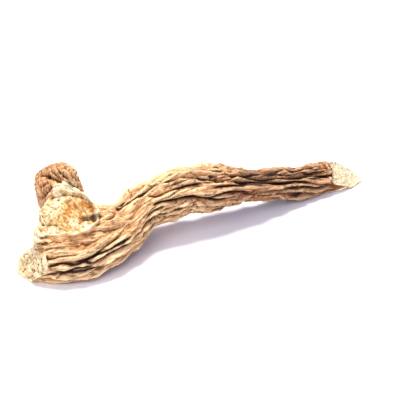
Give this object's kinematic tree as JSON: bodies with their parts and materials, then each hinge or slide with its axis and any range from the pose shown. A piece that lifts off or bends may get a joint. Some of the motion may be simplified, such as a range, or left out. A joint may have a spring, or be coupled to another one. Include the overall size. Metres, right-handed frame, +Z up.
{
  "type": "gentian root",
  "caption": "Dried gentian root, a long wrinkled root that arches from its thin cut end to a forked crown, lying on its side.",
  "frame": {"origin": "on the surface that the root rests on, under the middle of its bounding box", "axes": "+X along the root towards its thin end, +Z up, +Y towards the side that the crown's upper lobe leans to"},
  "size_m": [0.168, 0.0506, 0.0349],
  "materials": {
    "dried_root": "dull, dry and deeply wrinkled"
  },
  "bodies": {
    "root": {"gentian_root": "dried_root"}
  },
  "joints": []
}
